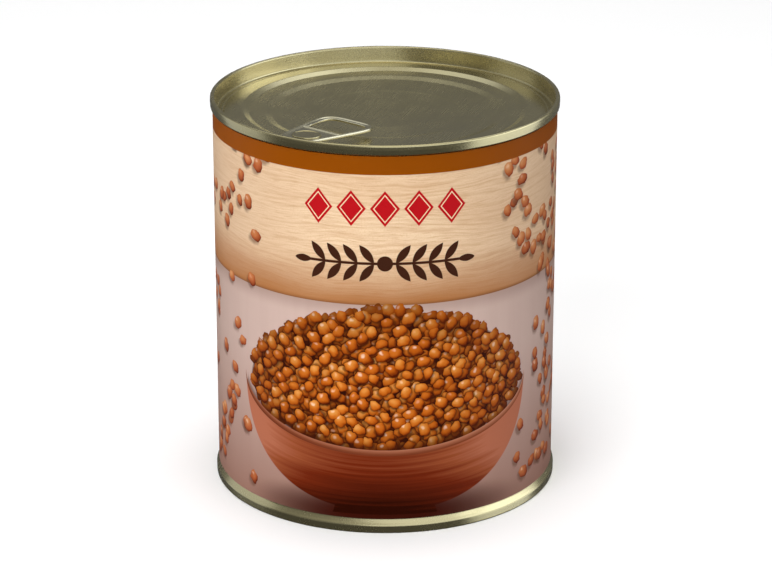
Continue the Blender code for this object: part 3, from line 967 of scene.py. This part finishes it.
def sprig_print(tree, colour, x, y, colours):
    """A level sprig: a stem with slanting pairs of leaves, a bud at each end and a round boss.

    A leaf's half width is 4 * w * f * (1 - f), f the share of the way along it.
    """
    side = add(tree, "Math", (x,), **UNSIGNED)
    height = add(tree, "Math", (add(tree, "Math", (y, SPRIG_HEIGHT), **MINUS),), **UNSIGNED)
    from_start = add(tree, "Math", (side, SPRIG_START), **MINUS)
    along = add(tree, "Math", (from_start, LEAF_PITCH), **REMAINDER)
    forward = add(tree, "Math", (along, math.cos(LEAF_ANGLE) / LEAF_LENGTH), **TIMES)
    forward = add(tree, "Math", (height, math.sin(LEAF_ANGLE) / LEAF_LENGTH, forward), **TIMES_PLUS)
    sideways = add(tree, "Math", (along, -math.sin(LEAF_ANGLE)), **TIMES)
    sideways = add(tree, "Math", (height, math.cos(LEAF_ANGLE), sideways), **TIMES_PLUS)
    rest = add(tree, "Math", (1.0, forward), **MINUS)
    reach = add(tree, "Math", (forward, rest), **TIMES)
    reach = add(tree, "Math", (reach, 4.0 * LEAF_HALF_WIDTH), **TIMES)
    edge = add(tree, "Math", (reach, add(tree, "Math", (sideways,), **UNSIGNED)), **MINUS)
    leaf = add(tree, "MapRange", (edge, 0.0, 0.1, 0.0, 1.0))
    begun = add(tree, "Math", (side, SPRIG_START), **IS_MORE)
    unfinished = add(tree, "Math", (side, SPRIG_START + LEAF_PAIRS * LEAF_PITCH), **IS_LESS)
    leaf = add(tree, "Math", (leaf, add(tree, "Math", (begun, unfinished), **TIMES)), **TIMES)
    stem = add(tree, "MapRange", (height, 0.35, 0.45, 1.0, 0.0))
    stem = add(tree, "Math", (stem, add(tree, "Math", (side, SPRIG_REACH), **IS_LESS)), **TIMES)
    from_end = add(tree, "Math", (side, SPRIG_REACH), **MINUS)
    bud = add(tree, "MapRange", (lens(tree, from_end, height, 2.6, 1.1, 1.6), 0.95, 1.0, 1.0, 0.0))
    boss = add(tree, "MapRange", (lens(tree, x, height, 2.3, 2.3), 0.95, 1.0, 1.0, 0.0))
    green = add(tree, "Math", (leaf, stem), **LARGER)
    tips = add(tree, "Math", (bud, boss), **LARGER)
    share = add(tree, "Math", (green, tips), **LARGER)
    return add(tree, "Mix", {0: share, 6: colour, 7: tuple(colours.sprig)}, **PAINT)


def printed_paper(colours, lentil_width):
    """Coated label paper, offset-printed: flat ink under a thin varnish that barely shines."""
    made, tree, shader = finish("varnished_label_paper", 0.0, 0.42, 0.03)
    place = add(tree, "UVMap", uv_map="Wrap")
    split = add(tree, "SeparateXYZ", (place,), output=None).outputs
    arc, y = split[0], split[1]
    x = face_x(tree, arc)
    width = lentil_width / MM
    wobble = add(tree, "TexNoise", {"Vector": place, "Scale": 0.55, "Detail": 1.0}, output=1)
    wobble = add(tree, "VectorMath", (wobble, (0.5, 0.5, 0.5)), **MINUS)
    uneven = add(tree, "VectorMath", (wobble, (1.3, 1.3, 0.0), place), **TIMES_PLUS)

    colour = field_print(tree, x, y, place, colours)
    board = board_print(tree, arc, y, place, colours)
    on_board = add(tree, "MapRange", (y, BOARD_FOOT - INK_EDGE, BOARD_FOOT + INK_EDGE, 0.0, 1.0))
    colour = add(tree, "Mix", {0: on_board, 6: colour, 7: board}, **PAINT)
    colour = loose_print(tree, colour, uneven, LOOSE_SCALE * width)
    colour = heap_print(tree, colour, x, y, uneven, width)
    colour = bowl_print(tree, colour, x, y)
    colour = lozenge_print(tree, colour, x, y, colours)
    colour = sprig_print(tree, colour, x, y, colours)
    on_band = add(tree, "MapRange", (y, BAND_FOOT - INK_EDGE, BAND_FOOT + INK_EDGE, 0.0, 1.0))
    colour = add(tree, "Mix", {0: on_band, 6: colour, 7: tuple(colours.band)}, **PAINT)
    tree.links.new(colour, shader.inputs["Base Color"])
    return made


def object_settings():
    """The sizes and colours that the scene holds for this tin."""
    scene = bpy.context.scene
    return scene.tin_sizes, scene.tin_colours


def lid_metal():
    """The lacquered tinplate of the ends and the wall, made on first use."""
    sizes, colours = object_settings()
    name = "lacquered_tinplate"
    made = bpy.data.materials.get(name)
    return made or tinplate(name, colours.tinplate, sizes.grain, LID_ROUGHNESS)


class TIN_OT_opening_end(bpy.types.Operator):
    """Turn the opening end: seam, chuck wall, score line, stepped panel and rivet"""

    bl_idname = "tin.opening_end"
    bl_label = "Opening End"

    def execute(self, context):
        profile = rounded(end_corners(LID_PANEL, 0.5 * MM, 0.55 * MM, TOP_HEM))
        profile[:, 1] = RIM_TOP - profile[:, 1]
        end = turned("opening_end", profile, TURNED_SEGMENTS)
        piece("opening_end", end, lid_metal(), "tinplate", "easy_open_end")
        piece("lid_rivet", rivet_mesh(), lid_metal(), "tinplate", "easy_open_end")
        return {"FINISHED"}


class TIN_OT_bottom_end(bpy.types.Operator):
    """Turn the bottom end and finish the body wall behind the label"""

    bl_idname = "tin.bottom_end"
    bl_label = "Bottom End"

    def execute(self, context):
        profile = rounded(end_corners(BOTTOM_PANEL, 0.3 * MM, 0.35 * MM, FOOT_HEM))
        end = turned("bottom_seamed_end", profile, TURNED_SEGMENTS)
        piece("bottom_seamed_end", end, lid_metal(), "tinplate", "bottom_end")
        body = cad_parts["can_body"]
        body.data.materials.clear()
        body.data.materials.append(lid_metal())
        return {"FINISHED"}


class TIN_OT_pull_tab(bpy.types.Operator):
    """Carry the ring pull's rolled frame round its outline, and press its web"""

    bl_idname = "tin.pull_tab"
    bl_label = "Ring Pull"

    def execute(self, context):
        sizes, colours = object_settings()
        metal = tinplate("ring_pull_steel", colours.tab, sizes.grain, TAB_ROUGHNESS)
        piece("pull_tab_frame", rolled_frame(), metal, "tab_steel", "pull_tab")
        piece("pull_tab_web", nose_web(sizes.lip), metal, "tab_steel", "pull_tab")
        return {"FINISHED"}


class TIN_OT_label(bpy.types.Operator):
    """Wrap the printed paper label round the body"""

    bl_idname = "tin.label"
    bl_label = "Label"

    def execute(self, context):
        sizes, colours = object_settings()
        paper = printed_paper(colours, sizes.lentil)
        piece("label_paper", label_mesh(sizes.paper, sizes.lap), paper, "label_paper", "label")
        return {"FINISHED"}


class TIN_OT_stage(bpy.types.Operator):
    """Set the camera, the pale floor and the soft studio light"""

    bl_idname = "tin.stage"
    bl_label = "Stage"

    def execute(self, context):
        scene = context.scene
        scene.view_settings.view_transform = "Standard"
        camera_data = bpy.data.cameras.new("photo_camera")
        camera_data.sensor_width = SENSOR_MM
        camera_data.lens = FOCAL_PX / PHOTO_WIDTH * SENSOR_MM
        camera_data.shift_x = SHIFT_X_PX / PHOTO_WIDTH
        camera_data.shift_y = SHIFT_Y_PX / PHOTO_WIDTH
        camera_data.clip_start = 0.01
        camera = bpy.data.objects.new("photo_camera", camera_data)
        scene.collection.objects.link(camera)
        camera.location = (
            0.0,
            -CAMERA_DISTANCE * math.cos(CAMERA_ELEVATION),
            RIM_TOP / 2.0 + CAMERA_DISTANCE * math.sin(CAMERA_ELEVATION),
        )
        camera.rotation_euler = (math.pi / 2.0 - CAMERA_ELEVATION, 0.0, 0.0)
        scene.camera = camera

        turns = ((-1, -1), (1, -1), (1, 1), (-1, 1))
        corners = [(x * FLOOR_HALF, y * FLOOR_HALF, 0.0) for x, y in turns]
        mesh = bpy.data.meshes.new("floor")
        mesh.from_pydata(corners, [], [(0, 1, 2, 3)])
        floor = bpy.data.objects.new("floor", mesh)
        scene.collection.objects.link(floor)
        matt, _, shader = finish("matt_white_floor", 0.0, 0.9, 0.0)
        shader.inputs["Base Color"].default_value = FLOOR_WHITE
        mesh.materials.append(matt)
        floor.visible_glossy = False
        floor.visible_shadow = False

        for name, place, size, power, shown_in in LAMPS:
            data = bpy.data.lights.new(name, "AREA")
            data.shape = "RECTANGLE"
            data.size, data.size_y = size
            data.energy = power
            if shown_in == "gloss":
                data.color = GLOSS_TINT
            lamp = bpy.data.objects.new(name, data)
            scene.collection.objects.link(lamp)
            lamp.location = place
            aim = Vector((0.0, 0.0, RIM_TOP / 2.0)) - Vector(place)
            lamp.rotation_euler = aim.to_track_quat("-Z", "Y").to_euler()
            lamp.visible_diffuse = shown_in == "diffuse"
            lamp.visible_glossy = shown_in == "gloss"
        studio_world(scene)
        return {"FINISHED"}


def studio_world(scene):
    """Soft studio surround: bright overhead and dim low down, by the height of the ray."""
    world = bpy.data.worlds.new("studio")
    scene.world = world
    world.use_nodes = True
    tree = world.node_tree
    way = add(tree, "TexCoord", output=0)
    height = add(tree, "SeparateXYZ", (way,), output=2)
    rise = add(tree, "MapRange", (height, -1.0, 1.0, 0.0, 1.0))
    stops = [(0.5 + sine / 2.0, (level, level, level, 1.0)) for sine, level in SURROUND]
    surround = add(tree, "ValToRGB", (rise,), stops=stops)
    tree.links.new(surround, tree.nodes["Background"].inputs["Color"])


SETTINGS = (TinSizes, TinColours)
OPERATORS = (
    TIN_OT_opening_end, TIN_OT_bottom_end, TIN_OT_pull_tab, TIN_OT_label, TIN_OT_stage,
)


class TIN_PT_sidebar(bpy.types.Panel):
    """Buttons that build the tin piece by piece"""

    bl_idname = "TIN_PT_sidebar"
    bl_label = "Lentil Tin"
    bl_space_type = "VIEW_3D"
    bl_region_type = "UI"
    bl_category = "Tin"

    def draw(self, context):
        for operator in OPERATORS:
            self.layout.operator(operator.bl_idname)
        for group in (context.scene.tin_sizes, context.scene.tin_colours):
            box = self.layout.box()
            for name in group.bl_rna.properties.keys():
                if name not in {"rna_type", "name"}:
                    box.prop(group, name)


def register():
    for kind in (*SETTINGS, *OPERATORS, TIN_PT_sidebar):
        bpy.utils.register_class(kind)
    bpy.types.Scene.tin_sizes = bpy.props.PointerProperty(type=TinSizes)
    bpy.types.Scene.tin_colours = bpy.props.PointerProperty(type=TinColours)


def unregister():
    del bpy.types.Scene.tin_colours
    del bpy.types.Scene.tin_sizes
    for kind in reversed((*SETTINGS, *OPERATORS, TIN_PT_sidebar)):
        bpy.utils.unregister_class(kind)


def main():
    register()
    bpy.ops.tin.stage()
    bpy.ops.tin.opening_end()
    bpy.ops.tin.bottom_end()
    bpy.ops.tin.pull_tab()
    bpy.ops.tin.label()


if __name__ == "__main__":
    main()
